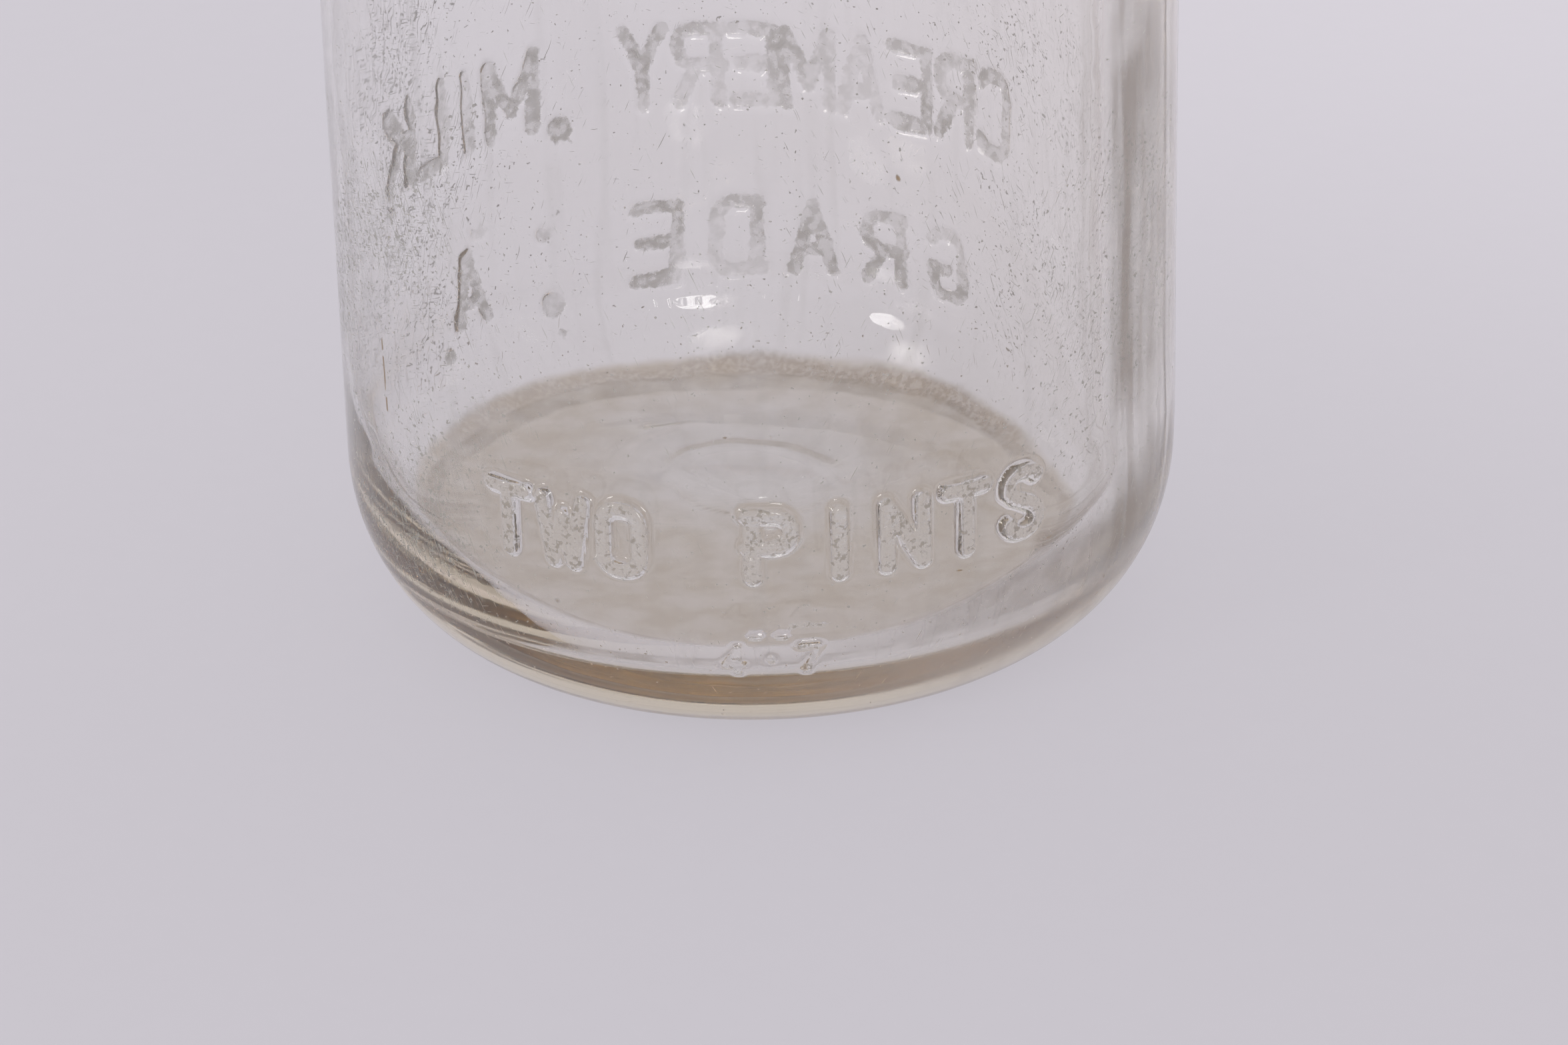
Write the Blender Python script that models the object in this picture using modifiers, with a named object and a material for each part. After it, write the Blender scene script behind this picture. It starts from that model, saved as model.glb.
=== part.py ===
"""One-quart round milk bottle of clear blown glass, with a waxed board cap and its pull tab.

Metres, +Z up. The origin is the middle of the base, where the bottle stands, and the bottle's
front faces -Y. The glass is one turned shape. A stapled board disc rests in the seat inside the
lip: it pulls straight up, and the free end of its paper tab folds up about the line FOLD_Y.
"""

import math

import bmesh
import bpy

MM = 0.001

# Bottle, outside
HEIGHT = 241.3 * MM
BODY_RADIUS = 48.0 * MM
HEEL_WIDTH = 15.0 * MM
HEEL_HEIGHT = 19.4 * MM
BODY_TOP = 118.0 * MM
NECK_RADIUS = 24.2 * MM
NECK_BOTTOM = 200.0 * MM
LIP_RADIUS = 27.8 * MM
LIP_HEIGHT = 13.0 * MM
LIP_ROUND = 3.0 * MM

# Base
BEARING_WIDTH = 3.0 * MM
PUSH_UP = 1.6 * MM
PUSH_UP_STEPS = 6
FLOOR_TOP = 9.6 * MM
FLOOR_CROWN = 0.4 * MM

# Bottle, inside
WALL = 4.5 * MM
INNER_HEEL_WIDTH = 7.2 * MM
INNER_HEEL_HEIGHT = 14.0 * MM
THROAT_RADIUS = 18.8 * MM
SEAT_DEPTH = 6.3 * MM
BORE_RADIUS = 21.0 * MM
BORE_FLARE = 0.9 * MM

# Closure
GAP = 0.3 * MM
CAP_RADIUS = 20.65 * MM
CAP_THICKNESS = 1.1 * MM
CAP_ROUND = 0.3 * MM
TAB_WIDTH = 13.0 * MM
TAB_THICKNESS = 0.4 * MM
TAB_REACH = 14.0 * MM
FOOT_LENGTH = 7.6 * MM
FOLD_Y = -3.4 * MM
FOLD_GAP = 0.3 * MM
WIRE_RADIUS = 0.3 * MM
STAPLE_WIDTH = 8.8 * MM
STAPLE_CLINCH = 2.8 * MM
STAPLE_Y = 0.4 * MM
STAPLE_BEND = 0.7 * MM
STAPLE_HOLE_RADIUS = 0.65 * MM
HOLE_OVERRUN = 2.0 * MM

TURN_STEPS = 48
ARC_STEPS = 7
BLEND_STEPS = 12
CORNER_STEPS = 6
HOLE_STEPS = 12

SEAT_Z = HEIGHT - SEAT_DEPTH
CAP_BOTTOM = SEAT_Z + GAP
CAP_TOP = CAP_BOTTOM + CAP_THICKNESS
TAB_BOTTOM = CAP_TOP + GAP
TAB_TOP = TAB_BOTTOM + TAB_THICKNESS


def clear_scene():
    for obj in list(bpy.data.objects):
        bpy.data.objects.remove(obj, do_unlink=True)


def new_collection(name):
    collection = bpy.data.collections.new(name)
    bpy.context.scene.collection.children.link(collection)
    return collection


def material(name, colour, roughness, metallic=0.0, transmission=0.0):
    mat = bpy.data.materials.new(name)
    mat.use_nodes = True
    shader = mat.node_tree.nodes["Principled BSDF"]
    shader.inputs["Base Color"].default_value = (*colour, 1.0)
    shader.inputs["Roughness"].default_value = roughness
    shader.inputs["Metallic"].default_value = metallic
    shader.inputs["Transmission Weight"].default_value = transmission
    shader.inputs["IOR"].default_value = 1.52
    return mat


def add_object(name, data, collection, mat=None):
    obj = bpy.data.objects.new(name, data)
    collection.objects.link(obj)
    if mat is not None:
        data.materials.append(mat)
    return obj


def arc(centre, radii, start, end, steps=ARC_STEPS):
    """Points of an ellipse's arc about centre, from one angle to another in degrees."""
    angles = [math.radians(start + (end - start) * i / steps) for i in range(steps + 1)]
    return [(centre[0] + radii[0] * math.cos(a), centre[1] + radii[1] * math.sin(a)) for a in angles]


def ogee(start, end, steps=BLEND_STEPS):
    """An S-shaped run of points between two (radius, height) ends, upright at both."""
    points = []
    for i in range(1, steps):
        share = i / steps
        eased = 0.5 - 0.5 * math.cos(math.pi * share)
        radius = start[0] + (end[0] - start[0]) * eased
        points.append((radius, start[1] + (end[1] - start[1]) * share))
    return [start, *points, end]


def inside_profile():
    """The inner surface as (radius, height), from the middle of the floor up to the lip."""
    wall_radius = BODY_RADIUS - WALL
    heel_centre = (wall_radius - INNER_HEEL_WIDTH, FLOOR_TOP + INNER_HEEL_HEIGHT)
    floor = [(0.0, FLOOR_TOP + FLOOR_CROWN), (heel_centre[0] * 0.5, FLOOR_TOP + FLOOR_CROWN * 0.6)]
    heel = arc(heel_centre, (INNER_HEEL_WIDTH, INNER_HEEL_HEIGHT), -90, 0)
    shoulder = ogee((wall_radius, BODY_TOP), (THROAT_RADIUS, NECK_BOTTOM))
    seat = [(THROAT_RADIUS, SEAT_Z), (BORE_RADIUS, SEAT_Z), (BORE_RADIUS, SEAT_Z + SEAT_DEPTH * 0.5)]
    return floor + heel + shoulder + seat


def push_up(edge):
    """The hollow under the base, from its edge on the bearing ring in to its middle."""
    points = []
    for i in range(PUSH_UP_STEPS + 1):
        share = i / PUSH_UP_STEPS
        points.append((edge * (1 - share), PUSH_UP * (0.5 - 0.5 * math.cos(math.pi * share))))
    return points


def outside_profile():
    """The outer surface as (radius, height), from the lip down to the middle of the base."""
    mouth_radius = BORE_RADIUS + BORE_FLARE
    inner_round = 1.4 * MM
    lip_bottom = HEIGHT - LIP_HEIGHT
    lip = arc((mouth_radius + inner_round, HEIGHT - inner_round), (inner_round, inner_round), 180, 90, 4)
    lip += arc((LIP_RADIUS - LIP_ROUND, HEIGHT - LIP_ROUND), (LIP_ROUND, LIP_ROUND), 90, 0, 5)
    lip += arc((LIP_RADIUS - LIP_ROUND, lip_bottom + LIP_ROUND), (LIP_ROUND, LIP_ROUND), 0, -75, 4)
    neck = [(NECK_RADIUS, lip_bottom - LIP_ROUND * 0.6)]
    shoulder = ogee((NECK_RADIUS, NECK_BOTTOM), (BODY_RADIUS, BODY_TOP))
    bearing_outer = BODY_RADIUS - HEEL_WIDTH
    heel = arc((bearing_outer, HEEL_HEIGHT), (HEEL_WIDTH, HEEL_HEIGHT), 0, -90)
    return lip + neck + shoulder + heel + push_up(bearing_outer - BEARING_WIDTH)


def cap_profile():
    """The board disc as (radius, height), from the middle of its top, round its rim, to its bottom."""
    rim = CAP_RADIUS - CAP_ROUND
    top = arc((rim, CAP_TOP - CAP_ROUND), (CAP_ROUND, CAP_ROUND), 90, 0, 3)
    bottom = arc((rim, CAP_BOTTOM + CAP_ROUND), (CAP_ROUND, CAP_ROUND), 0, -90, 3)
    return [(0.0, CAP_TOP)] + top + bottom + [(0.0, CAP_BOTTOM)]


def turned(name, profile, collection, mat):
    """A solid of revolution: the profile starts and ends on the axis and runs down its outer side."""
    shape = bmesh.new()
    verts = [shape.verts.new((radius, 0.0, height)) for radius, height in profile]
    for first, second in zip(verts, verts[1:]):
        shape.edges.new((first, second))
    mesh = bpy.data.meshes.new(name)
    shape.to_mesh(mesh)
    shape.free()
    obj = add_object(name, mesh, collection, mat)
    screw = obj.modifiers.new("Turn", "SCREW")
    screw.axis = "Z"
    screw.angle = math.tau
    screw.steps = TURN_STEPS
    screw.render_steps = TURN_STEPS
    screw.use_merge_vertices = True
    screw.merge_threshold = 0.01 * MM
    screw.use_smooth_shade = True
    return obj


def hole_cutter(name, radius, centre, bottom, top, collection):
    """An upright rod that a round hole is cut with."""
    shape = bmesh.new()
    bmesh.ops.create_cone(
        shape, cap_ends=True, segments=HOLE_STEPS, radius1=radius, radius2=radius, depth=top - bottom
    )
    mesh = bpy.data.meshes.new(name)
    shape.to_mesh(mesh)
    shape.free()
    rod = add_object(name, mesh, collection)
    rod.location = (*centre, (bottom + top) / 2)
    rod.hide_render = True
    rod.display_type = "WIRE"
    return rod


def outline(name, points, bottom, thickness, collection, mat):
    """A flat sheet with the given closed outline, lying from bottom up, as a mesh."""
    curve = bpy.data.curves.new(name, "CURVE")
    curve.dimensions = "2D"
    curve.fill_mode = "BOTH"
    curve.extrude = thickness / 2
    spline = curve.splines.new("POLY")
    spline.points.add(len(points) - 1)
    for point, (x, y) in zip(spline.points, points):
        point.co = (x, y, 0.0, 1.0)
    spline.use_cyclic_u = True
    guide = add_object(name + "_outline", curve, collection)
    guide.location = (0.0, 0.0, bottom + thickness / 2)
    bpy.context.view_layer.update()
    graph = bpy.context.evaluated_depsgraph_get()
    mesh = bpy.data.meshes.new_from_object(guide.evaluated_get(graph))
    shape = bmesh.new()
    shape.from_mesh(mesh)
    bmesh.ops.remove_doubles(shape, verts=shape.verts, dist=0.001 * MM)
    shape.to_mesh(mesh)
    shape.free()
    obj = add_object(name, mesh, collection, mat)
    obj.matrix_world = guide.matrix_world.copy()
    bpy.data.objects.remove(guide, do_unlink=True)
    return obj


def cut(obj, cutters):
    """Cut every cutter out of an object."""
    for cutter in cutters:
        boolean = obj.modifiers.new(cutter.name, "BOOLEAN")
        boolean.operation = "DIFFERENCE"
        boolean.solver = "EXACT"
        boolean.object = cutter


def staple_holes(collection):
    """Cutters for the two holes that the staple's legs go through."""
    holes = []
    for side, name in ((-1, "left_leg_hole"), (1, "right_leg_hole")):
        centre = (side * STAPLE_WIDTH / 2, STAPLE_Y)
        bottom = CAP_BOTTOM - HOLE_OVERRUN
        top = TAB_TOP + HOLE_OVERRUN
        holes.append(hole_cutter(name, STAPLE_HOLE_RADIUS, centre, bottom, top, collection))
    return holes


def foot_points():
    """The tab's stapled end: square at the fold, with rounded corners at the back."""
    half = TAB_WIDTH / 2
    corner = 1.5 * MM
    front = FOLD_Y + FOLD_GAP
    back = FOLD_Y + FOOT_LENGTH
    points = [(-half, front), (half, front)]
    points += arc((half - corner, back - corner), (corner, corner), 0, 90, 4)
    points += arc((corner - half, back - corner), (corner, corner), 90, 180, 4)
    return points


def flap_points():
    """The tab's free end as seen from above, about the fold line at y = 0."""
    half = TAB_WIDTH / 2
    end = half - TAB_REACH
    points = [(half, -FOLD_GAP), (-half, -FOLD_GAP)]
    points += arc((0.0, end), (half, half), 180, 360, 2 * CORNER_STEPS)
    return points


def staple_points():
    """The wire's centre line: clinched end, leg, crown, leg, clinched end."""
    half = STAPLE_WIDTH / 2
    low = CAP_BOTTOM - GAP - WIRE_RADIUS
    high = TAB_TOP + GAP + WIRE_RADIUS
    bend = (STAPLE_BEND, STAPLE_BEND)
    right = arc((half - STAPLE_BEND, high - STAPLE_BEND), bend, 90, 0, 3)
    right += arc((half - STAPLE_BEND, low + STAPLE_BEND), bend, 0, -90, 3)
    right.append((half - STAPLE_CLINCH, low))
    left = [(-x, z) for x, z in reversed(right)]
    return left + right


def staple(collection, mat):
    curve = bpy.data.curves.new("tab_staple", "CURVE")
    curve.dimensions = "3D"
    curve.bevel_depth = WIRE_RADIUS
    curve.bevel_resolution = 2
    curve.use_fill_caps = True
    points = staple_points()
    spline = curve.splines.new("POLY")
    spline.points.add(len(points) - 1)
    for point, (x, z) in zip(spline.points, points):
        point.co = (x, 0.0, z, 1.0)
    obj = add_object("tab_staple", curve, collection, mat)
    obj.location = (0.0, STAPLE_Y, 0.0)
    return obj


def pull_tab(collection, cap_pivot, mat):
    """The free end of the tab, hung on an empty at the fold line."""
    fold = add_object("tab_fold", None, collection)
    fold.location = (0.0, FOLD_Y, TAB_BOTTOM + TAB_THICKNESS / 2)
    fold.parent = cap_pivot
    flap = outline("pull_tab", flap_points(), -TAB_THICKNESS / 2, TAB_THICKNESS, collection, mat)
    flap.parent = fold
    return flap


def build():
    clear_scene()
    parts = new_collection("milk_bottle")
    cutters = new_collection("cutters")
    glass = material("clear_glass", (0.93, 0.91, 0.86), 0.03, transmission=1.0)
    board = material("waxed_board", (0.78, 0.70, 0.55), 0.45)
    paper = material("tab_paper", (0.80, 0.73, 0.60), 0.70)
    foot_paper = material("foot_paper", (0.78, 0.71, 0.58), 0.70)
    wire = material("staple_wire", (0.62, 0.60, 0.57), 0.35, metallic=1.0)

    turned("glass_bottle", inside_profile() + outside_profile(), parts, glass)
    cap_pivot = add_object("cap_axis", None, parts)
    holes = staple_holes(cutters)
    disc = turned("cap_disc", cap_profile(), parts, board)
    foot = outline("pull_tab_foot", foot_points(), TAB_BOTTOM, TAB_THICKNESS, parts, foot_paper)
    wire_staple = staple(parts, wire)
    for piece in (disc, foot, wire_staple):
        piece.parent = cap_pivot
    cut(disc, holes)
    cut(foot, holes)
    pull_tab(parts, cap_pivot, paper)


build()
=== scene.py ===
"""The looks of a round one-quart milk bottle: heavy pressed glass with raised lettering,
and the waxed board cap with a stapled paper tab that closes it.

Lengths in the tables below are in millimetres; everything given to Blender is in metres.
Angles around the bottle start at its front (-Y) and grow towards +X, so that lettering on
the outside always reads in the direction of growing angle.
"""

import math

import bpy
import numpy as np
from mathutils import Matrix, Vector


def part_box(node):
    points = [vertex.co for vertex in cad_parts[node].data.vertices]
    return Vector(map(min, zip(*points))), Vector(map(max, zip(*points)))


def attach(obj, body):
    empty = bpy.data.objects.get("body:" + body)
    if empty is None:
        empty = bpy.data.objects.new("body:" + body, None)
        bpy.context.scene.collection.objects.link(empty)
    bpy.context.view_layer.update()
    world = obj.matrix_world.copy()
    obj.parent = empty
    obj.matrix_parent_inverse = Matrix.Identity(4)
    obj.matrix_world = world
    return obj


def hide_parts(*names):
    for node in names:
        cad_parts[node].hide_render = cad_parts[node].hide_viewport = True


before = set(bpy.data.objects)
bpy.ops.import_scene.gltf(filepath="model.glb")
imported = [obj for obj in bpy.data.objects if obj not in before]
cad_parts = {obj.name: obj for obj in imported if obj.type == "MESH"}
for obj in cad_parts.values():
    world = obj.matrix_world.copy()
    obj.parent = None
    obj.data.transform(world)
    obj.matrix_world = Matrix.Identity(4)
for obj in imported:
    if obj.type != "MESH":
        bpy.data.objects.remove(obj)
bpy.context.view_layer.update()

MM = 0.001

# ---------------------------------------------------------------- sizes, in mm
glass_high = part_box("glass_bottle")[1]
HEIGHT = glass_high.z / MM
BODY_RADIUS = glass_high.x / MM
HEEL_WIDTH = 15.0
HEEL_HEIGHT = 19.4
BODY_TOP = 118.0
NECK_BOTTOM = 200.0
NECK_RADIUS = 24.2
LIP_RADIUS = 27.8
LIP_HEIGHT = 13.0
PUSH_UP = 1.6

LEFT_WALL = 2.1
RIGHT_WALL = 7.2
FLOOR_TOP = 9.6
INNER_HEEL_WIDTH = 7.2
INNER_HEEL_HEIGHT = 14.0
THROAT_RADIUS = 18.8
SEAT_DEPTH = 6.3
BORE_RADIUS = 21.0
SCAR_X, SCAR_Y = 0.8, 12.0
SCAR_RADIUS = 10.7
SWIRL_RADIUS = 18.5
SCAR_RISE, SWIRL_RISE = 0.10, 0.06
SEAM_ANGLES = (-90.0, 90.0)
SEAM_RISE = 0.16
SEAM_HALF_ANGLE = 0.45
OUTER_SWELL, INNER_SWELL = 0.06, 0.30


# ---------------------------------------------------------------- camera and light
VIEW_PITCH = 27.4
VIEW_ROLL = -1.41
VIEW_DISTANCE = 0.697
VIEW_AIM = (2.43 * MM, 0.0, 6.2 * MM)
VIEW_LENS = 136.4
SENSOR_WIDTH = 36.0
SKY_TOP, SKY_BACK, SKY_FRONT = 0.66, 0.58, 0.56
SOFTBOXES = (("box_left", -53.0, 12.0), ("box_right", 10.0, 9.0))
SOFTBOX_POWER = 3.0
SOFTBOX_SIZE = 0.36
SOFTBOX_DISTANCE = 1.5
BACKDROP_RADIUS = 5.0
BACKDROP_DROP = 0.03 * MM
BOUNCES = 48


# ---------------------------------------------------------------- profiles
def arc(centre, radii, start, end, steps=48):
    """Points of an ellipse's arc from one angle to another, in degrees."""
    angles = np.radians(np.linspace(start, end, steps + 1))
    x, y = centre
    return [(x + radii[0] * math.cos(a), y + radii[1] * math.sin(a)) for a in angles]


def ogee(start, end, steps=96):
    """An S-shaped run between two (radius, height) ends, upright at both."""
    share = np.linspace(0, 1, steps + 1)
    eased = 0.5 - 0.5 * np.cos(np.pi * share)
    return [
        (start[0] + (end[0] - start[0]) * e, start[1] + (end[1] - start[1]) * s)
        for e, s in zip(eased, share)
    ]


class Profile:
    """A turned outline, read by distance along it."""

    def __init__(self, points):
        kept = [points[0]]
        kept += [b for a, b in zip(points, points[1:]) if math.dist(a, b) > 1e-6]
        self.points = np.array(kept)
        steps = np.linalg.norm(np.diff(self.points, axis=0), axis=1)
        self.along = np.concatenate([[0], np.cumsum(steps)])

    def at(self, distance):
        radius = np.interp(distance, self.along, self.points[:, 0])
        height = np.interp(distance, self.along, self.points[:, 1])
        return radius, height

    def where_height(self, height):
        """Distance at which the outline first reaches a height."""
        over = self.points[:, 1] - height
        at = int(np.argmax(over[:-1] * over[1:] <= 0))
        share = over[at] / ((over[at] - over[at + 1]) or 1.0)
        return self.along[at] + share * (self.along[at + 1] - self.along[at])


def inside_points():
    wall_radius = BODY_RADIUS - (LEFT_WALL + RIGHT_WALL) / 2
    heel_centre = (wall_radius - INNER_HEEL_WIDTH, FLOOR_TOP + INNER_HEEL_HEIGHT)
    seat = HEIGHT - SEAT_DEPTH
    points = [(0.0, FLOOR_TOP + 0.5)]
    points += arc(heel_centre, (INNER_HEEL_WIDTH, INNER_HEEL_HEIGHT), -90, 0)
    points += ogee((wall_radius, BODY_TOP), (THROAT_RADIUS, NECK_BOTTOM))
    points += arc((THROAT_RADIUS + 0.5, seat - 0.5), (0.5, 0.5), 180, 90, 6)
    points += arc((BORE_RADIUS - 0.4, seat + 0.4), (0.4, 0.4), -90, 0, 6)
    points += [(BORE_RADIUS + 0.15, seat + 3.0)]
    return points


def outside_points():
    lip_bottom = HEIGHT - LIP_HEIGHT
    points = arc((BORE_RADIUS + 2.4, HEIGHT - 1.5), (1.6, 1.5), 180, 90, 16)
    points += arc((LIP_RADIUS - 3.0, HEIGHT - 3.0), (3.0, 3.0), 90, 0, 24)
    points += arc((LIP_RADIUS - 3.0, lip_bottom + 3.0), (3.0, 3.0), 0, -62, 16)
    points += arc((NECK_RADIUS + 1.6, lip_bottom - 1.1), (1.6, 1.6), 118, 180, 10)
    points += ogee((NECK_RADIUS, NECK_BOTTOM), (BODY_RADIUS, BODY_TOP))
    bearing = BODY_RADIUS - HEEL_WIDTH
    points += arc((bearing, HEEL_HEIGHT), (HEEL_WIDTH, HEEL_HEIGHT), 0, -90)
    share = np.linspace(0, 1, 25)[1:]
    points += [(bearing * (1 - s), PUSH_UP * (1 - (1 - s) ** 2) ** 1.5) for s in share]
    return points


# ---------------------------------------------------------------- lettering
GLYPH_WIDTH = 0.56


def bowl(left, right, bottom, top, start, end, corner=0.24):
    """A round-cornered box's outline between two angles in degrees, as a stroke."""
    corners = [(right, top, 0), (left, top, 90), (left, bottom, 180), (right, bottom, 270)]
    points = []
    for x, y, first in corners:
        cx = x - corner if first in (0, 270) else x + corner
        cy = y - corner if first in (0, 90) else y + corner
        for angle in range(first, first + 91, 15):
            if start <= angle <= end:
                points.append((cx + corner * math.cos(math.radians(angle)),
                               cy + corner * math.sin(math.radians(angle))))
    return points


def glyphs():
    """Each letter as strokes in a box one unit high."""
    w = GLYPH_WIDTH
    m = w / 2
    ring = bowl(0, w, 0, 1, 0, 360)
    hook = bowl(0, w, 0, 1, 30, 330)
    loop = [(0, 0.48)] + bowl(-0.3, w, 0.48, 1, 270, 360) + bowl(-0.3, w, 0.48, 1, 0, 90) + [(0, 1)]
    belly = [(0, 0)] + bowl(-0.3, w, 0, 1, 270, 360) + bowl(-0.3, w, 0, 1, 0, 90) + [(0, 1)]
    snake = bowl(0, w, 0.48, 1, 20, 180) + [(0.12, 0.6), (w - 0.12, 0.42), (w - 0.02, 0.3)]
    snake += bowl(0, w, 0, 0.52, 195, 345)[::-1]
    return {
        "A": [[(0, 0), (m, 1), (w, 0)], [(w * 0.2, 0.3), (w * 0.8, 0.3)]],
        "C": [hook],
        "D": [belly + [(0, 0)]],
        "E": [[(w, 1), (0, 1), (0, 0), (w, 0)], [(0, 0.52), (w * 0.85, 0.52)]],
        "G": [hook + [(w, 0.42), (m, 0.42)]],
        "I": [[(m, 0), (m, 1)]],
        "K": [[(0, 0), (0, 1)], [(w, 1), (0, 0.4)], [(w * 0.3, 0.6), (w, 0)]],
        "L": [[(0, 1), (0, 0), (w, 0)]],
        "M": [[(-0.05, 0), (-0.05, 1), (m, 0.3), (w + 0.05, 1), (w + 0.05, 0)]],
        "N": [[(0, 0), (0, 1), (w, 0), (w, 1)]],
        "O": [ring + ring[:1]],
        "P": [[(0, 0), (0, 1)], loop],
        "R": [[(0, 0), (0, 1)], loop, [(w * 0.55, 0.48), (w, 0)]],
        "S": [snake],
        "T": [[(-0.03, 1), (w + 0.03, 1)], [(m, 1), (m, 0)]],
        "W": [[(-0.05, 1), (w * 0.2, 0), (m, 0.75), (w * 0.8, 0), (w + 0.05, 1)]],
        "Y": [[(0, 1), (m, 0.5), (w, 1)], [(m, 0.5), (m, 0)]],
        "4": [[(w * 0.75, 0), (w * 0.75, 1), (0, 0.3), (w, 0.3)]],
        "7": [[(0, 1), (w, 1), (w * 0.35, 0)]],
        "-": [[(0, 0.5), (w, 0.5)]],
    }


GLYPHS = glyphs()

CRISP = (0.75, 0.75)
SOFT = (0.24, 1.2)
FAINT = (0.40, 0.6)

# text, letter height, half a stroke, height of its foot, angle of its first letter and the step
# from letter to letter in degrees, and how it stands out: (height of the relief, width of its edge)
LINES = (
    ("TWO", 9.4, 1.0, 23.6, -34.9, 8.2, CRISP),
    ("PINTS", 9.4, 1.0, 23.6, 1.2, 8.8, CRISP),
    ("4", 4.4, 0.5, 11.7, -4.2, 0.0, FAINT),
    ("7", 4.4, 0.5, 11.7, 5.9, 0.0, FAINT),
    ("--", 2.6, 0.3, 15.6, -1.2, 3.4, FAINT),
    ("---", 2.6, 0.3, 16.9, 3.6, 1.9, FAINT),
    ("CREAMERY", 11.6, 1.05, 39.6, 131.5, 8.9, SOFT),
    ("MILK", 11.6, 1.05, 39.6, 215.0, 8.3, SOFT),
    ("GRADE", 11.3, 1.05, 16.8, 143.0, 12.2, SOFT),
    ("A", 11.3, 1.05, 16.8, 225.0, 0.0, SOFT),
)
# angle, height and radius of each raised dot
DOTS = (
    (0.8, 14.0, 0.6), (207.0, 39.6, 1.8), (209.0, 16.9, 2.0), (207.6, 12.9, 0.9),
    (231.5, 14.6, 1.1), (243.0, 37.6, 1.2), (222.0, 30.0, 1.4), (210.0, 26.6, 1.1),
)


def stroke_distance(x, y, stroke):
    """Distance from points to a stroke's centre line."""
    best = np.full(x.shape, 1e9)
    for (ax, ay), (bx, by) in zip(stroke, stroke[1:]):
        dx, dy = bx - ax, by - ay
        share = np.clip(((x - ax) * dx + (y - ay) * dy) / max(dx * dx + dy * dy, 1e-12), 0, 1)
        best = np.minimum(best, np.hypot(x - ax - share * dx, y - ay - share * dy))
    return best


def raised(distance, half, edge):
    """How far up a rounded ridge each point is, from 0 beside it to 1 on its top."""
    up = np.clip((half + edge / 2 - distance) / edge, 0, 1)
    return up * up * (3 - 2 * up)


def lettering(angle, height):
    """Height in mm of the raised marks at each point, and how far up its mark the point is."""
    rise, share = np.zeros(angle.shape), np.zeros(angle.shape)
    to_arc = math.radians(1) * BODY_RADIUS
    for middle, level, radius in DOTS:
        up = raised(np.hypot((angle - middle) * to_arc, height - level), radius, SOFT[1])
        rise, share = np.maximum(rise, SOFT[0] * up), np.maximum(share, up)
    for text, size, half, foot, first, step, (relief, edge) in LINES:
        tall = size - 2 * half
        wide = GLYPH_WIDTH * tall
        for place, letter in enumerate(text):
            x = (angle - first - step * place) * to_arc + wide / 2
            y = height - foot - half
            near = (np.abs(x - wide / 2) < size) & (np.abs(y - tall / 2) < size)
            for stroke in GLYPHS[letter] if near.any() else []:
                scaled = [(px * tall, py * tall) for px, py in stroke]
                up = raised(stroke_distance(x[near], y[near], scaled), half, edge)
                rise[near] = np.maximum(rise[near], relief * up)
                share[near] = np.maximum(share[near], up)
    return rise, share


# ---------------------------------------------------------------- the glass skin
# each cell of the mesh is cut FINE by FINE where there is lettering
COLUMN_STEP = 2.0
FIRST_ANGLE = -100.0
FINE = 5


def column_angles():
    """Angles of the mesh columns, with a few more beside each mould seam."""
    angles = set(np.arange(FIRST_ANGLE, FIRST_ANGLE + 360, COLUMN_STEP))
    for seam in SEAM_ANGLES:
        angles |= {seam + part * SEAM_HALF_ANGLE for part in (-2, -1, 1, 2)}
    return np.array(sorted(angles))


def rows_along(profile, stops):
    """Distances of the rows along a profile: each stop is (distance, spacing up to it)."""
    rows, start = [], 0.0
    for end, spacing in stops:
        count = max(1, round((end - start) / spacing))
        rows += list(start + (end - start) * np.arange(count) / count)
        start = end
    return rows + [start]


def swell(angle, height, seed):
    """Slow unevenness of the glass, about -1 to 1."""
    a = np.radians(angle)
    waves = (
        (1, 190.0, 0.3, 0.30), (2, 120.0, 1.9, 0.25), (3, 71.0, 4.1, 0.20),
        (5, 53.0, 2.6, 0.12), (4, 31.0, 5.2, 0.10), (7, 44.0, 0.9, 0.08),
    )
    total = 0.0
    for turns, length, phase, size in waves:
        total = total + size * np.cos(turns * a + 2 * np.pi * height / length + phase + seed)
    return total


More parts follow.
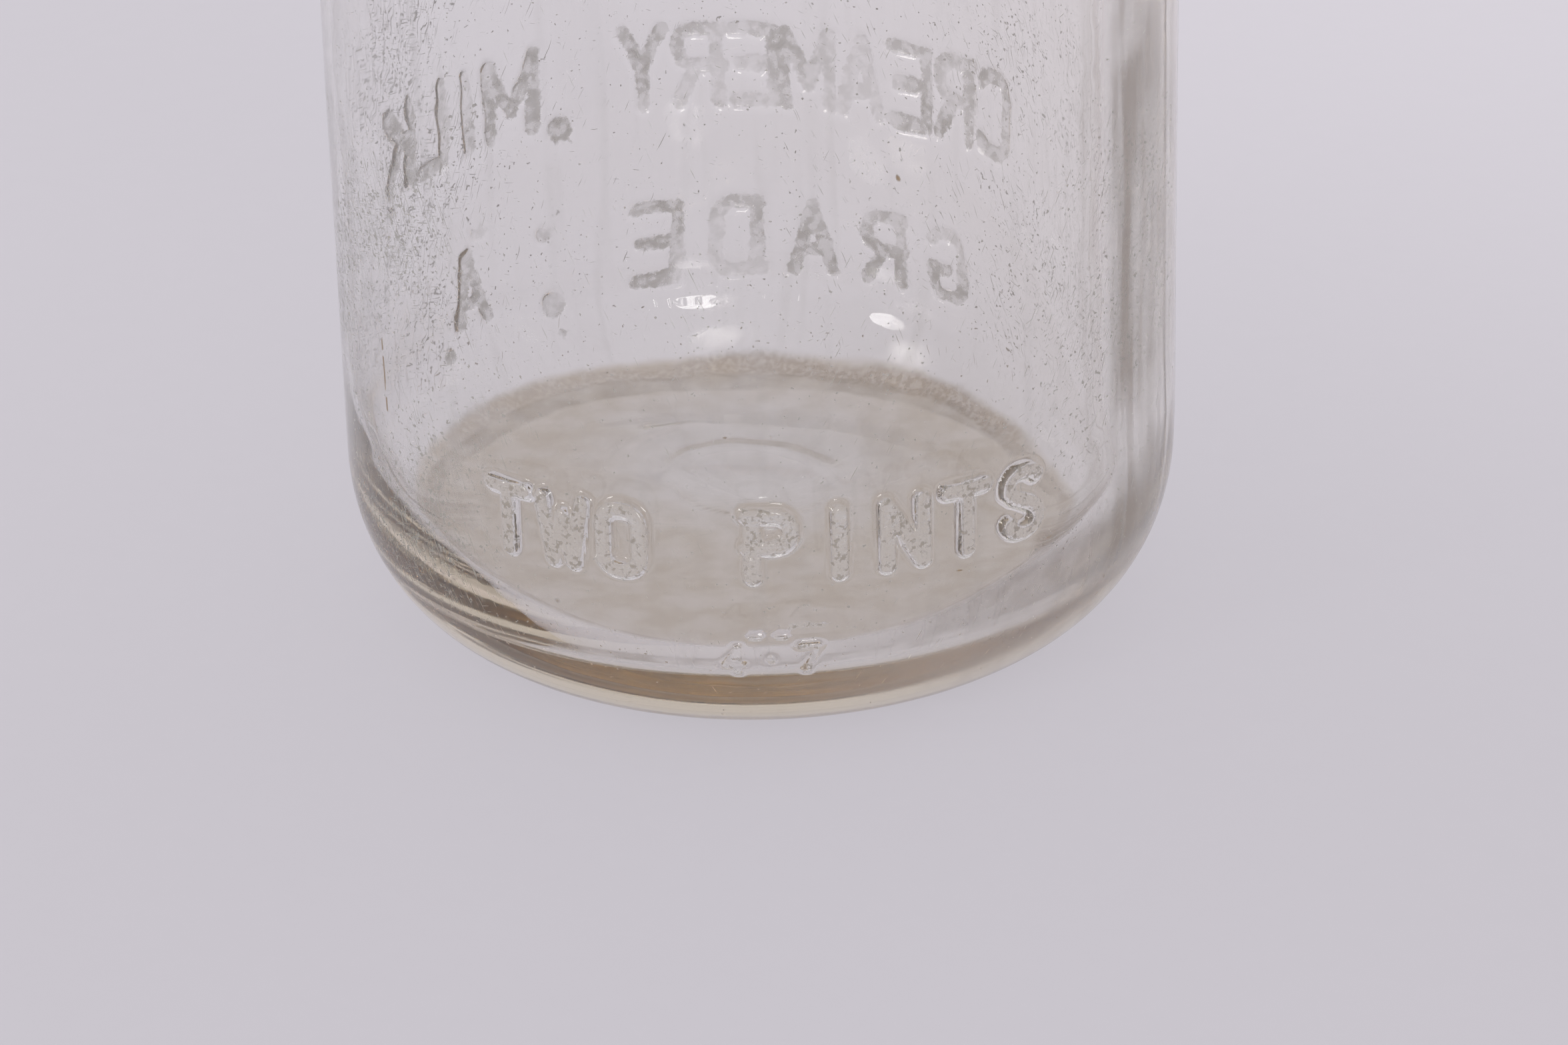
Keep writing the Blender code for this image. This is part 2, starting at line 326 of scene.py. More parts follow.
class GlassMesh:
    """The bottle's closed surface: from the middle of the inside floor, over the lip, to the base."""

    def __init__(self):
        self.inside = Profile(inside_points())
        self.outside = Profile(outside_points())
        inner, outer = self.inside, self.outside
        wall = inner.where_height(FLOOR_TOP + INNER_HEEL_HEIGHT + 4)
        inner_rows = rows_along(inner, (
            (26.0, 2.0), (wall, 0.9), (inner.where_height(BODY_TOP), 3.0),
            (inner.where_height(HEIGHT - SEAT_DEPTH - 4), 3.0), (inner.along[-1], 0.7),
        ))
        letters_top = outer.where_height(54.0)
        self.bearing = outer.along[int(np.argmin(outer.points[:, 1]))]
        outer_rows = rows_along(outer, (
            (outer.where_height(HEIGHT - LIP_HEIGHT - 3), 0.9), (outer.where_height(BODY_TOP), 3.0),
            (letters_top, 3.0), (outer.where_height(HEEL_HEIGHT), 1.7), (self.bearing, 1.05),
            (self.bearing + 7.0, 0.6), (outer.along[-1] - 1.0, 0.75), (outer.along[-1], 1.0),
        ))
        self.side = np.array([0.0] * len(inner_rows) + [1.0] * len(outer_rows))
        self.along = np.array(inner_rows + outer_rows)
        self.angles = column_angles()
        self.zones = [
            self.zone(-42, 42, 21.5, 35.0), self.zone(-9, 9, 10.8, 17.4),
            self.zone(126, 244, 37.0, 53.0), self.zone(136, 232, 14.0, 30.0),
        ]

    def zone(self, first, last, low, high):
        """Cells (first column, last column, first row, last row) of a patch that holds lettering."""
        columns = np.searchsorted(self.angles, (first, last))
        outer = np.flatnonzero(self.side == 1)
        heights = self.outside.at(self.along[outer])[1]
        above_base = self.along[outer] < self.bearing
        body = outer[(heights > low) & (heights < high) & above_base]
        return int(columns[0]), int(columns[1]), int(body[0]), int(body[-1])

    def place(self, row, column):
        """Positions in mm, and the raised share, of points at fractional rows and columns."""
        closed = np.append(self.angles, self.angles[0] + 360)
        angle = np.interp(column, np.arange(len(closed)), closed)
        low = np.minimum(np.floor(row).astype(int), len(self.along) - 1)
        high = np.minimum(low + 1, len(self.along) - 1)
        along = self.along[low] + (self.along[high] - self.along[low]) * (row - low)
        outer = self.side[low] == 1
        r_in, z_in = self.inside.at(along)
        r_out, z_out = self.outside.at(along)
        radius, height = np.where(outer, r_out, r_in), np.where(outer, z_out, z_in)
        rise, relief = (np.where(outer & (height > 5), part, 0.0) for part in lettering(angle, height))
        full = np.clip(radius / BODY_RADIUS, 0, 1) ** 2
        radius = radius + rise
        for seam in SEAM_ANGLES:
            ridge = np.exp(-(((angle - seam) / SEAM_HALF_ANGLE) ** 2))
            radius = radius + np.where(outer & (height > 1.0), SEAM_RISE * ridge, 0.0)
        upright = np.clip((height - 14) / 14, 0, 1) * np.clip((HEIGHT - 40 - height) / 40, 0, 1)
        waves = swell(angle, height, outer * 2.0) * full * upright
        radius = radius + np.where(outer, OUTER_SWELL, INNER_SWELL) * waves
        a = np.radians(angle)
        x, y = radius * np.sin(a), -radius * np.cos(a)
        x = x + np.where(outer, 0.0, self.lean(radius, height))
        height = height + self.base_relief(x, y, height, outer)
        return np.stack([x, y, height], -1), relief, outer

    @staticmethod
    def lean(radius, height):
        """How far the inner skin stands off centre along X, in mm: most in the body, none in the neck."""
        lean = (LEFT_WALL - RIGHT_WALL) / 2 * np.clip(radius / 30, 0, 1)
        lean = lean * (0.5 + 0.5 * np.clip((height - FLOOR_TOP) / 20, 0, 1))
        return lean * np.clip((NECK_BOTTOM - height) / (NECK_BOTTOM - BODY_TOP), 0, 1)

    @staticmethod
    def base_relief(x, y, height, outer):
        """Rise of the base's underside, in mm: the scar ring and the half swirl beside it."""
        from_middle = np.hypot(x - SCAR_X, y - SCAR_Y)
        scar = SCAR_RISE * np.exp(-(((from_middle - SCAR_RADIUS) / 1.1) ** 2))
        fade = np.clip((SCAR_X - x) / 12, 0, 1)
        swirl = SWIRL_RISE * fade * np.exp(-(((from_middle - SWIRL_RADIUS) / 1.3) ** 2))
        under = outer & (height < PUSH_UP + 0.1) & (np.hypot(x, y) < 30)
        return np.where(under, scar + swirl, 0.0)

    def build(self, name):
        rows, columns = len(self.along), len(self.angles)
        used = np.zeros(((rows - 1) * FINE + 1, columns * FINE), bool)
        used[::FINE, ::FINE] = True
        in_zone = np.zeros((rows - 1, columns), bool)
        for c0, c1, r0, r1 in self.zones:
            used[r0 * FINE : r1 * FINE + 1, c0 * FINE : c1 * FINE + 1] = True
            in_zone[r0:r1, c0:c1] = True
        used[0] = used[-1] = False
        ids = np.full(used.shape, -1)
        ids[used] = np.arange(used.sum())
        row_at, column_at = np.nonzero(used)
        points, relief, outer = self.place(row_at / FINE, column_at / FINE)
        poles = self.place(np.array([0.0, rows - 1.0]), np.array([0.0, 0.0]))[0]
        poles[:, :2] = 0
        points = np.concatenate([points, poles])
        relief = np.concatenate([relief, [0, 0]])
        outer = np.concatenate([outer, [0, 1]])
        faces = self.plain_cells(ids, in_zone) + self.fine_cells(ids, in_zone)
        faces += self.pole_cells(ids, len(points) - 2, len(points) - 1)
        mesh = bpy.data.meshes.new(name)
        mesh.from_pydata(points * MM, [], faces)
        for layer, values in (("relief", relief), ("outer", outer)):
            attribute = mesh.attributes.new(layer, "FLOAT", "POINT")
            attribute.data.foreach_set("value", values.astype(np.float32))
        mesh.shade_smooth()
        return mesh

    def plain_cells(self, ids, in_zone):
        """Quads outside the lettering; beside it they take in the finer points on their edges."""
        faces = []
        rows, columns = in_zone.shape
        for r in range(1, rows - 1):
            for c in range(columns):
                if not in_zone[r, c]:
                    faces.append(self.edge_of(r * FINE, c * FINE, ids))
        return faces

    @staticmethod
    def edge_of(row, column, ids):
        """The points on one cell's edge, in order round it."""
        wide = ids.shape[1]
        side = range(FINE)
        path = [(row + k, column) for k in side] + [(row + FINE, column + k) for k in side]
        path += [(row + FINE - k, column + FINE) for k in side] + [(row, column + FINE - k) for k in side]
        found = [int(ids[r, c % wide]) for r, c in path]
        return [i for i in found if i >= 0]

    @staticmethod
    def fine_cells(ids, in_zone):
        """Small quads that fill the patches with lettering."""
        fine = np.kron(in_zone, np.ones((FINE, FINE), bool))
        r, c = np.nonzero(fine)
        right = (c + 1) % ids.shape[1]
        quads = np.stack([ids[r, c], ids[r + 1, c], ids[r + 1, right], ids[r, right]], -1)
        return quads.tolist()

    @staticmethod
    def pole_cells(ids, top, bottom):
        """Triangles round the middle of the inside floor and of the base."""
        first = ids[FINE, ::FINE]
        last = ids[-1 - FINE, ::FINE]
        faces = [[top, int(a), int(b)] for a, b in zip(first, np.roll(first, -1))]
        return faces + [[bottom, int(b), int(a)] for a, b in zip(last, np.roll(last, -1))]


def link(name, data):
    obj = bpy.data.objects.new(name, data)
    bpy.context.scene.collection.objects.link(obj)
    return obj


# ---------------------------------------------------------------- materials
class Shading:
    """A new material and short names for its nodes. Places are in mm, in the object's own frame."""

    def __init__(self, name):
        self.material = bpy.data.materials.new(name)
        self.material.use_nodes = True
        self.tree = self.material.node_tree
        self.shader = self.tree.nodes["Principled BSDF"]
        coordinates = self.tree.nodes.new("ShaderNodeTexCoord")
        self.place = self.vector("SCALE", coordinates.outputs["Object"], Scale=1 / MM)
        self.x, self.y, self.z = self.split(self.place)

    def set(self, node, **inputs):
        for name, value in inputs.items():
            self.join(value, node.inputs[name.replace("_", " ")])
        return node

    def join(self, value, socket):
        if isinstance(value, bpy.types.NodeSocket):
            self.tree.links.new(value, socket)
        else:
            socket.default_value = value

    def finish(self, **inputs):
        self.set(self.shader, **inputs)
        return self.material

    def vector(self, operation, value, other=None, **inputs):
        node = self.tree.nodes.new("ShaderNodeVectorMath")
        node.operation = operation
        self.join(value, node.inputs[0])
        if other is not None:
            self.join(other, node.inputs[1])
        return self.set(node, **inputs).outputs["Value" if operation == "LENGTH" else "Vector"]

    def split(self, value):
        node = self.tree.nodes.new("ShaderNodeSeparateXYZ")
        self.join(value, node.inputs[0])
        return node.outputs

    def combine(self, *values):
        node = self.tree.nodes.new("ShaderNodeCombineXYZ")
        for value, socket in zip(values, node.inputs):
            self.join(value, socket)
        return node.outputs[0]

    def math(self, operation, *values):
        node = self.tree.nodes.new("ShaderNodeMath")
        node.operation = operation
        for value, socket in zip(values, node.inputs):
            self.join(value, socket)
        return node.outputs[0]

    def add(self, first, *others):
        for other in others:
            first = self.math("ADD", first, other)
        return first

    def times(self, first, *others):
        for other in others:
            first = self.math("MULTIPLY", first, other)
        return first

    def least(self, first, second):
        return self.math("MINIMUM", first, second)

    def most(self, first, *others):
        for other in others:
            first = self.math("MAXIMUM", first, other)
        return first

    def ramp(self, value, low, high, start=0.0, end=1.0):
        """A smooth step from start to end as the value goes from low to high."""
        node = self.tree.nodes.new("ShaderNodeMapRange")
        node.interpolation_type = "SMOOTHSTEP"
        if low > high:
            low, high, start, end = high, low, end, start
        for socket, given in zip(node.inputs, (value, low, high, start, end)):
            self.join(given, socket)
        return node.outputs[0]

    def band(self, value, low, high, edge):
        """1 between low and high, falling to 0 over the edge outside them."""
        return self.times(self.ramp(value, low - edge, low), self.ramp(value, high + edge, high))

    def noise(self, place, size, detail=1.0):
        node = self.tree.nodes.new("ShaderNodeTexNoise")
        return self.set(node, Vector=place, Scale=1 / size, Detail=detail).outputs[0]

    def spots(self, place, size, randomness=1.0):
        """Distance to the nearest of the points scattered about one size apart, in sizes."""
        node = self.tree.nodes.new("ShaderNodeTexVoronoi")
        return self.set(node, Vector=place, Scale=1 / size, Randomness=randomness).outputs["Distance"]

    def grain(self, place, turn, length, width):
        """Noise drawn out to streaks of a length and width, turned in the plane by an angle."""
        node = self.tree.nodes.new("ShaderNodeMapping")
        node.vector_type = "TEXTURE"
        self.set(node, Vector=place, Rotation=(0, 0, math.radians(turn)), Scale=(length, width, 1))
        return self.noise(node.outputs[0], 1.0)

    def tint(self, factor, first, second):
        node = self.tree.nodes.new("ShaderNodeMix")
        node.data_type = "RGBA"
        factor_socket, *colour_sockets = (node.inputs[i] for i in (0, 6, 7))
        self.join(factor, factor_socket)
        for socket, given in zip(colour_sockets, (first, second)):
            self.join((*given, 1.0) if isinstance(given, tuple) else given, socket)
        return node.outputs[2]

    def from_axis(self, x=0.0, y=0.0):
        """Distance from an upright line through a point of the plan."""
        return self.vector("LENGTH", self.combine(self.add(self.x, -x), self.add(self.y, -y), 0.0))

    def bump(self, height):
        """Normals for a height in mm."""
        node = self.tree.nodes.new("ShaderNodeBump")
        return self.set(node, Height=height, Distance=MM).outputs[0]

    def attribute(self, name):
        node = self.tree.nodes.new("ShaderNodeAttribute")
        node.attribute_name = name
        return node.outputs["Fac"]


WHITE = (1.0, 1.0, 1.0)
GREY_WEAR = (0.36, 0.345, 0.295)
FRONT_LETTERS = (0.36, 0.32, 0.26)
BACK_LETTERS = (0.50, 0.475, 0.40)
BEIGE_HAZE = (0.66, 0.56, 0.44)
# brown of wear low down, and of the painted shade on the heel
BROWN_WEAR_AND_SHADE = (0.36, 0.27, 0.19)
RUST_SPOT = (0.42, 0.24, 0.07)
# brown of dried milk, and of the painted shade inside the glass
RESIDUE_AND_SHADE = (0.42, 0.30, 0.19)
FLOOR_STAIN = (0.70, 0.60, 0.45)
ABSORPTION = (0.86, 0.77, 0.61)
ABSORPTION_DENSITY = 16.0
GLASS_IOR = 1.52

BOARD_DARK, BOARD_LIGHT = (0.69, 0.55, 0.39), (0.80, 0.68, 0.52)
BOARD_FIBRE, BOARD_RIM = (0.46, 0.33, 0.22), (0.52, 0.38, 0.24)
KRAFT, KRAFT_FIBRE, KRAFT_SOIL = (0.60, 0.46, 0.30), (0.46, 0.33, 0.20), (0.33, 0.24, 0.15)
STEEL, RUST = (0.56, 0.54, 0.51), (0.28, 0.14, 0.07)
BACKDROP_DARK, BACKDROP_LIGHT = (0.160, 0.154, 0.166), (0.172, 0.166, 0.178)
BACKDROP_GLOW = (0.97, 0.925, 1.0, 1)
SKY_COLOUR = (0.985, 0.965, 1.0, 1)


def case_wear(g, skin, side):
    """Share of the outer wall covered by scuffs: crate marks that lean out on both flanks."""
    patches = g.noise(skin, 16.0, 2.0)
    lower = g.band(g.z, 16.0, 62.0, 12.0)
    shoulder = g.band(g.z, BODY_TOP - 8.0, BODY_TOP + 14.0, 8.0)
    density = g.times(g.most(lower, shoulder), g.add(0.25, g.times(0.75, side)))
    density = g.times(density, g.ramp(patches, 0.36, 0.62, 0.35, 1.0))
    density = g.times(density, g.ramp(g.x, -18.0, -38.0, 1.0, 1.4))
    left = g.times(g.ramp(g.x, 0.0, -6.0), g.grain(skin, 114.0, 3.6, 0.16))
    right = g.times(g.ramp(g.x, 0.0, 6.0), g.grain(skin, 62.0, 3.2, 0.15))
    dashes = g.add(left, right)
    across = g.grain(skin, 17.0, 2.2, 0.16)
    specks = g.noise(skin, 0.55)
    masks = []
    for value, edge, gain in ((dashes, 0.725, 0.10), (across, 0.755, 0.09), (specks, 0.735, 0.10)):
        masks.append(g.ramp(g.add(value, g.times(density, gain)), edge, edge + 0.07))
    return g.times(g.most(*masks), 0.55)


def long_scratch(g, skin):
    """One dark upright scratch low on the left flank."""
    around = g.math("ABSOLUTE", g.add(g.split(skin)[0], g.times(g.z, 0.04), 124.2))
    line = g.ramp(around, 0.26, 0.10)
    broken = g.ramp(g.noise(skin, 1.3), 0.38, 0.5)
    return g.times(line, broken, g.band(g.z, 34.0, 42.5, 1.0), 0.8)


def worn_letters(g, relief, skin):
    """Share of the raised tops rubbed matt: even and faded at the back, pitted at the front."""
    ragged = g.times(g.add(g.noise(skin, 0.8, 2.0), -0.5), 1.1)
    tops = g.times(g.ramp(g.add(relief, ragged), 0.42, 0.82), g.ramp(relief, 0.05, 0.3))
    fade = g.ramp(g.noise(skin, 13.0), 0.38, 0.60, 0.4, 1.0)
    speckle = g.ramp(g.noise(skin, 1.3, 3.0), 0.36, 0.62, 0.45, 1.0)
    back = g.times(tops, g.ramp(g.y, -4.0, 4.0), fade, speckle, 0.46)
    pits = g.ramp(g.noise(skin, 0.55, 2.0), 0.50, 0.66, 0.24, 0.9)
    front = g.times(tops, g.ramp(g.y, 4.0, -4.0), pits, 0.62)
    return g.add(back, front)


def residue_and_shade_film(g, skin):
    """Share of the inside covered by dried milk and by painted shade: the band in the corner at the back of
    the floor and the streaks up the right and left flanks are painted shade; the faint runs all round are
    dried milk.
    """
    middle = (LEFT_WALL - RIGHT_WALL) / 4
    wander = g.times(g.add(g.noise(g.place, 16.0, 2.0), -0.5), 4.0)
    # painted shade: a brown band round the back of the floor's corner, where the shadow beside the bottle
    # shows through
    corner = g.band(g.add(g.from_axis(middle), wander), 36.6, 38.2, 1.4)
    scuffed = g.ramp(g.noise(g.place, 0.7, 3.0), 0.32, 0.60, 0.55, 1.0)
    corner = g.times(corner, scuffed, g.ramp(g.z, FLOOR_TOP + 3.4, FLOOR_TOP + 2.0))
    corner = g.times(corner, g.ramp(g.y, 2.0, 20.0), g.ramp(g.x, -20.0, 24.0, 0.26, 0.38))
    streaks = g.ramp(g.grain(skin, 90.0, 30.0, 2.4), 0.28, 0.62, 0.5, 1.0)
    streaks = g.times(streaks, g.ramp(g.noise(skin, 18.0, 2.0), 0.32, 0.55, 0.55, 1.0))
    # painted shade: streaks up the right flank of the inside and, fainter, up the left
    right = g.times(g.ramp(g.x, 30.0, 34.0), g.band(g.y, -18.0, 0.0, 4.5))
    right = g.times(right, g.ramp(g.y, -2.0, -17.0, 0.22, 0.54))
    left = g.times(g.ramp(g.x, -30.0, -34.0), g.band(g.y, -8.0, 0.0, 4.0), 0.28)
    runs = g.ramp(g.grain(skin, 90.0, 40.0, 3.5), 0.55, 0.72, 0.0, 0.10)
    fading_up = g.ramp(g.z, BODY_TOP + 10.0, BODY_TOP - 50.0)
    return g.most(corner, g.times(g.add(right, left, runs), streaks, fading_up))


def outer_dirt_and_shade(g, skin, relief):
    """Share of the outside rubbed or soiled, with painted shade on its heel, but for its bearing ring."""
    side = g.ramp(g.math("ABSOLUTE", g.x), 22.0, 41.0)
    wear = g.most(case_wear(g, skin, side), worn_letters(g, relief, skin))
    thickness = g.add(0.012, g.times(side, 0.035))
    film = g.times(g.ramp(g.noise(skin, 9.0, 3.0), 0.3, 0.7, 0.5, 1.0), thickness)
    # painted shade: a mottled brown film low on the heel, strongest to the right and the front
    heel_shade_mottle = g.ramp(g.noise(skin, 4.0, 3.0), 0.3, 0.7, 0.75, 1.0)
    heel_painted_shade = g.times(g.band(g.z, 2.0, 11.0, 7.0), heel_shade_mottle)
    heel_painted_shade = g.times(heel_painted_shade, g.ramp(g.x, -5.0, 34.0, 0.04, 0.36), g.ramp(g.y, 12.0, -14.0, 0.25, 1.0))
    return g.times(g.most(wear, film, heel_painted_shade), g.ramp(g.z, 1.5, 4.0))


def dirt_and_shade_colour(g, outer, relief, on_floor):
    """Colour of the wear, dirt and painted shade: grey above, brown low down, where it is also the colour of
    the heel's painted shade, beige on the floor, its own on letters.
    """
    colour = g.tint(g.least(g.times(on_floor, 3.0), 1.0), GREY_WEAR, BEIGE_HAZE)
    # brown low on the outside: wear, and the painted shade on the heel
    colour = g.tint(g.times(g.ramp(g.z, 20.0, 10.0), outer), colour, BROWN_WEAR_AND_SHADE)
    letters = g.tint(g.ramp(g.y, -4.0, 4.0), FRONT_LETTERS, BACK_LETTERS)
    return g.tint(g.ramp(relief, 0.1, 0.4), colour, letters)


def floor_tint(g, on_floor, mottle):
    """What clean glass lets through: white, or straw where the inside floor is stained."""
    from_scar = g.from_axis(SCAR_X, SCAR_Y)
    stained = g.times(on_floor, g.ramp(mottle, 0.3, 0.7, 0.7, 1.0), g.ramp(from_scar, 7.0, 26.0, 0.0, 1.0))
    return g.tint(stained, WHITE, FLOOR_STAIN)


def glass_material():
    """Clear old glass: straw tinted in its depth, rubbed on its letters and flanks, browned in a ring low on
    its heel, with dried milk inside and painted shade on its heel, its inside corner and flanks.
    """
    g = Shading("worn_bottle_glass")
    outer, relief = g.attribute("outer"), g.attribute("relief")
    inner = g.math("SUBTRACT", 1.0, outer)
    around = g.times(g.math("ARCTAN2", g.y, g.x), BODY_RADIUS)
    skin = g.combine(around, g.z, g.times(outer, 300.0))
    mottle = g.noise(g.place, 5.0, 3.0)

    outside = g.times(outer_dirt_and_shade(g, skin, relief), outer)
    # a mottled brown ring low on the heel, outside the bearing
    ring = g.times(g.band(g.from_axis(), 38.8, 41.4, 0.8), g.ramp(g.z, 9.0, 7.0), outer)
    ring = g.times(ring, g.ramp(mottle, 0.30, 0.68, 0.10, 0.28))
    scratch = g.times(long_scratch(g, skin), outer)
    residue_and_shade = g.times(residue_and_shade_film(g, skin), inner)
    on_floor = g.times(inner, g.ramp(g.z, FLOOR_TOP + 1.7, FLOOR_TOP + 0.7))
    haze = g.times(on_floor, g.ramp(mottle, 0.25, 0.75, 0.06, 0.20))
    spotted = g.times(g.ramp(g.spots(g.place, 12.0), 0.055, 0.03), g.ramp(g.noise(g.place, 25.0), 0.5, 0.56))
    spotted = g.times(spotted, inner)
    cover = g.most(outside, ring, haze, residue_and_shade, g.times(spotted, 0.6), scratch)

    colour = dirt_and_shade_colour(g, outer, relief, on_floor)
    colour = g.tint(g.least(g.times(g.most(ring, scratch), 6.0), 1.0), colour, BROWN_WEAR_AND_SHADE)
    colour = g.tint(g.least(g.times(residue_and_shade, 6.0), 1.0), colour, RESIDUE_AND_SHADE)
    colour = g.tint(spotted, colour, RUST_SPOT)
    clear = floor_tint(g, on_floor, mottle)

    rubbed_heel = g.times(outer, g.band(g.z, 8.0, 19.0, 5.0), g.ramp(g.y, 0.0, 20.0), 0.09)
    peel = g.times(g.noise(skin, 5.5), 0.022)
    stipple = g.times(g.ramp(relief, 0.5, 0.9), g.noise(skin, 0.75), g.ramp(g.y, 4.0, -4.0, 0.02, 0.10))
    volume = g.tree.nodes.new("ShaderNodeVolumeAbsorption")
    g.set(volume, Color=(*ABSORPTION, 1), Density=ABSORPTION_DENSITY)
    g.join(volume.outputs[0], g.tree.nodes["Material Output"].inputs["Volume"])
    return g.finish(
        Base_Color=g.tint(g.ramp(cover, 0.0, 0.7), clear, colour),
        Transmission_Weight=g.math("SUBTRACT", 1.0, cover), IOR=GLASS_IOR,
        Roughness=g.add(g.times(cover, 0.6), rubbed_heel), Normal=g.bump(g.add(peel, stipple)),
    )


def board_material():
    """Waxed pulp board: cream, with grey fibres, wax mottling and a darker, rubbed rim."""
    g = Shading("waxed_pulp_board")
    fibres = g.most(g.grain(g.place, 35.0, 4.0, 0.18), g.grain(g.place, 120.0, 3.0, 0.16))
    fibres = g.ramp(fibres, 0.58, 0.74)
    mottle = g.noise(g.place, 3.5, 3.0)
    colour = g.tint(g.ramp(mottle, 0.3, 0.7), BOARD_DARK, BOARD_LIGHT)
    colour = g.tint(g.times(fibres, 0.5), colour, BOARD_FIBRE)
    colour = g.tint(g.times(g.ramp(g.from_axis(), 18.0, 20.6), 0.55), colour, BOARD_RIM)
    height = g.add(g.times(fibres, 0.03), g.times(mottle, 0.12))
    return g.finish(
        Base_Color=colour, Roughness=g.ramp(mottle, 0.3, 0.7, 0.34, 0.55),
        Normal=g.bump(height), Coat_Weight=0.25, Coat_Roughness=0.35,
    )


def paper_material():
    """Kraft paper for the tab: long fibres, fine tooth and a little soiling where it is gripped."""
    g = Shading("tab_kraft_paper")
    fibres = g.ramp(g.grain(g.place, 80.0, 3.2, 0.12), 0.45, 0.72)
    tooth = g.noise(g.place, 0.35, 3.0)
    soil = g.ramp(g.noise(g.place, 5.0, 2.0), 0.42, 0.68)
    colour = g.tint(fibres, KRAFT, KRAFT_FIBRE)
    colour = g.tint(g.times(soil, 0.4), colour, KRAFT_SOIL)
    height = g.add(g.times(tooth, 0.05), g.times(fibres, 0.03))
    roughness = g.ramp(tooth, 0.3, 0.7, 0.68, 0.86)
    return g.finish(Base_Color=colour, Roughness=roughness, Normal=g.bump(height))


def wire_material():
    """Drawn steel wire with fine scoring and specks of rust."""
    g = Shading("staple_steel_wire")
    scoring = g.noise(g.vector("MULTIPLY", g.place, (0.4, 6.0, 6.0)), 1.0, 2.0)
    rust = g.ramp(g.noise(g.place, 0.8, 3.0), 0.56, 0.68)
    return g.finish(
        Base_Color=g.tint(rust, STEEL, RUST),
        Metallic=g.ramp(rust, 0.0, 1.0, 1.0, 0.2),
        Roughness=g.add(g.ramp(scoring, 0.3, 0.7, 0.24, 0.44), g.times(rust, 0.35)),
        Normal=g.bump(g.times(scoring, 0.01)),
    )


def floor_material():
    """Matt paper backdrop with a faint tooth. It glows by itself, painted light that leaves the bottle
    almost no shadow, a little brighter towards the back and its far right.
    """
    g = Shading("backdrop_paper")
    tooth = g.noise(g.place, 4.0, 2.0)
    # painted light: the backdrop's own glow stands in for lamp light, with a painted pool of light towards
    # the back and far right
    glow = g.add(
        g.ramp(g.y, -90.0, 150.0, 0.480, 0.510), g.ramp(g.add(g.x, g.y), 40.0, 320.0, 0.0, 0.07),
        g.ramp(g.x, -60.0, -260.0, 0.0, 0.03),
    )
    return g.finish(
        Base_Color=g.tint(tooth, BACKDROP_DARK, BACKDROP_LIGHT), Roughness=0.9,
        Emission_Color=BACKDROP_GLOW, Emission_Strength=glow,
    )


# ---------------------------------------------------------------- stage
def floor():
    bpy.ops.mesh.primitive_circle_add(vertices=96, radius=BACKDROP_RADIUS, fill_type="NGON")
    disc = bpy.context.object
    disc.name = "floor"
    disc.location.z = -BACKDROP_DROP
    disc.data.materials.append(floor_material())


def camera():
    pitch, roll = math.radians(VIEW_PITCH), math.radians(VIEW_ROLL)
    data = bpy.data.cameras.new("photo_view")
    data.lens = VIEW_LENS
    data.sensor_width = SENSOR_WIDTH
    data.clip_start = 0.01
    obj = link("photo_view", data)
    back = Vector((0, -math.cos(pitch), math.sin(pitch)))
    turn = Matrix.Rotation(math.pi / 2 - pitch, 4, "X") @ Matrix.Rotation(roll, 4, "Z")
    obj.matrix_world = Matrix.Translation(Vector(VIEW_AIM) + back * VIEW_DISTANCE) @ turn
    bpy.context.scene.camera = obj


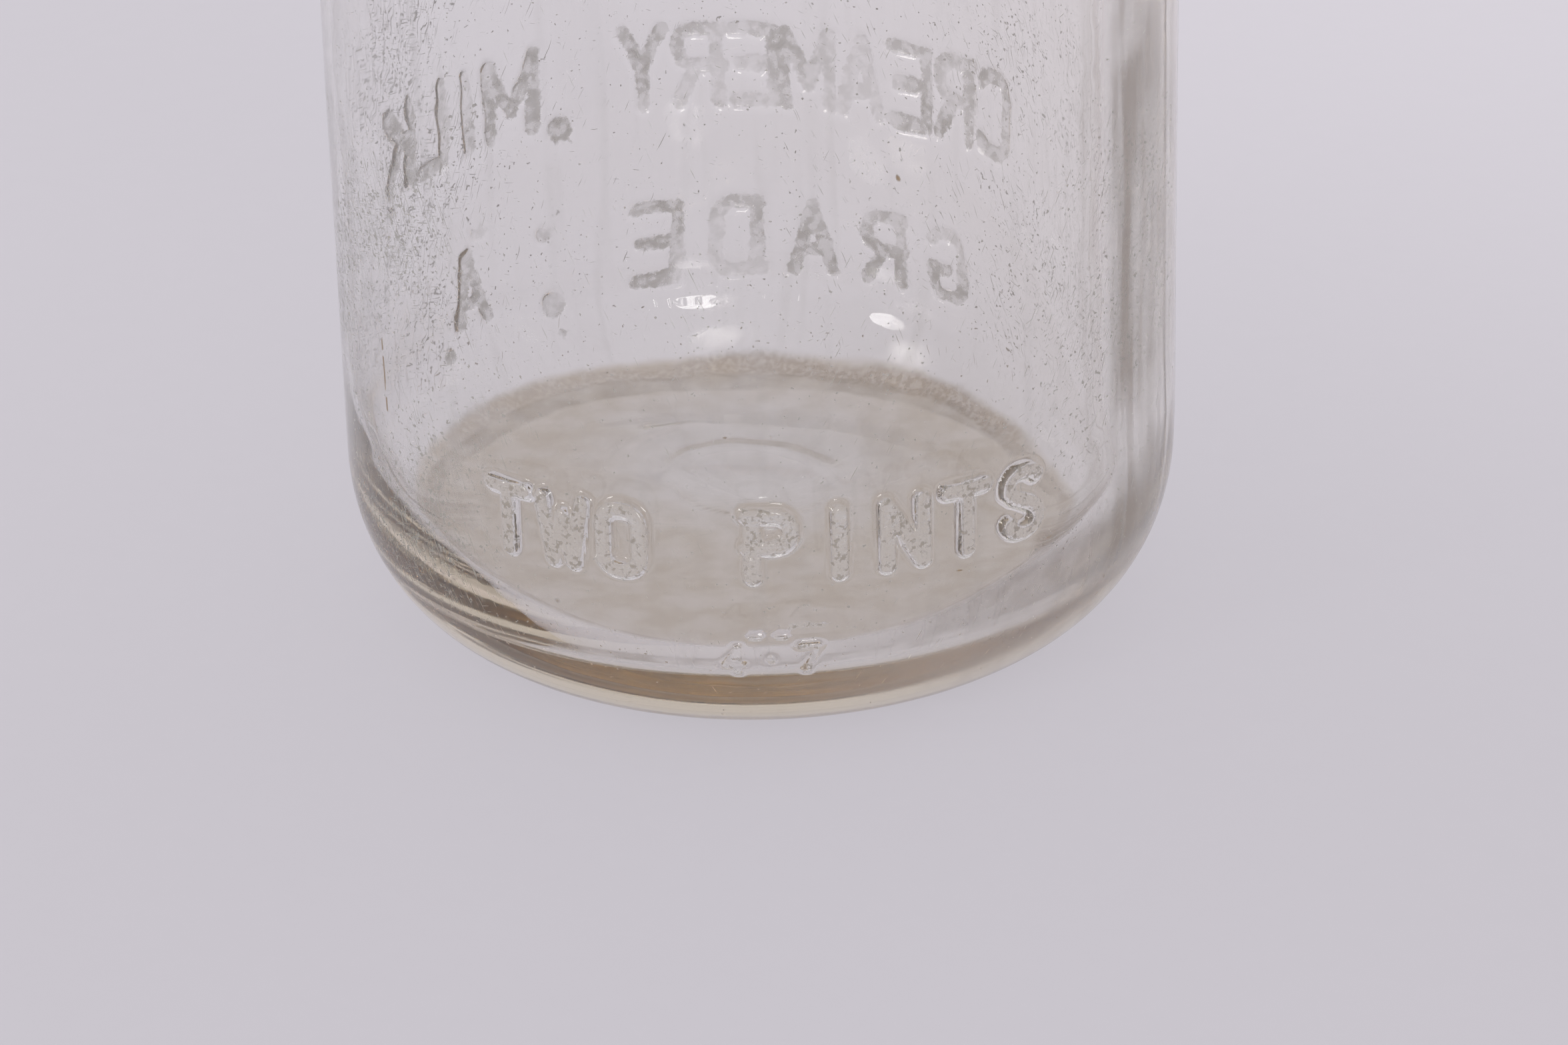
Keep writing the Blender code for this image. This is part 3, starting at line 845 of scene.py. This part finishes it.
def sky():
    """A bright, soft tent of light: brightest overhead, dimmer behind the camera and at the sides."""
    world = bpy.data.worlds.new("studio")
    bpy.context.scene.world = world
    world.use_nodes = True
    tree = world.node_tree
    nodes, join = tree.nodes, tree.links.new
    background = nodes["Background"]
    where = nodes.new("ShaderNodeTexCoord")
    split = nodes.new("ShaderNodeSeparateXYZ")
    join(where.outputs["Generated"], split.inputs[0])

    def ranged(axis, *limits):
        node = nodes.new("ShaderNodeMapRange")
        join(split.outputs[axis], node.inputs["Value"])
        for name, value in zip(("From Min", "From Max", "To Min", "To Max"), limits):
            node.inputs[name].default_value = value
        return node.outputs[0]

    level = nodes.new("ShaderNodeMix")
    level.data_type = "FLOAT"
    join(ranged("Z", 0.0, 0.75, 0.0, 1.0), level.inputs["Factor"])
    join(ranged("Y", -0.9, 0.2, SKY_FRONT, SKY_BACK), level.inputs["A"])
    level.inputs["B"].default_value = SKY_TOP
    join(level.outputs["Result"], background.inputs["Strength"])
    background.inputs["Color"].default_value = SKY_COLOUR


def softbox(name, azimuth, elevation):
    """A round soft light that faces the bottle from a direction given in degrees."""
    data = bpy.data.lights.new(name, "AREA")
    data.shape = "DISK"
    data.size = SOFTBOX_SIZE
    data.energy = SOFTBOX_POWER
    lamp = link(name, data)
    a, e = math.radians(azimuth), math.radians(elevation)
    out = Vector((math.sin(a) * math.cos(e), -math.cos(a) * math.cos(e), math.sin(e)))
    lamp.location = out * SOFTBOX_DISTANCE
    lamp.rotation_euler = out.to_track_quat("Z", "Y").to_euler()


def look():
    scene = bpy.context.scene
    scene.view_settings.view_transform = "Standard"
    scene.cycles.max_bounces = BOUNCES
    scene.cycles.transmission_bounces = BOUNCES
    scene.cycles.glossy_bounces = BOUNCES
    scene.cycles.use_denoising = True


def bottle():
    glass = link("milk_bottle_glass", GlassMesh().build("milk_bottle_glass"))
    glass.data.materials.append(glass_material())
    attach(glass, "bottle")
    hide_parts("glass_bottle")


def closure():
    """Finishes for the solids that stay as they are: the board disc, its paper tab and the staple."""
    paper = paper_material()
    finishes = {
        "cap_disc": board_material(), "pull_tab_foot": paper,
        "pull_tab": paper, "tab_staple": wire_material(),
    }
    for node, finish in finishes.items():
        bpy.data.objects[node].material_slots[0].material = finish


bottle()
closure()
floor()
camera()
sky()
for box in SOFTBOXES:
    softbox(*box)
look()
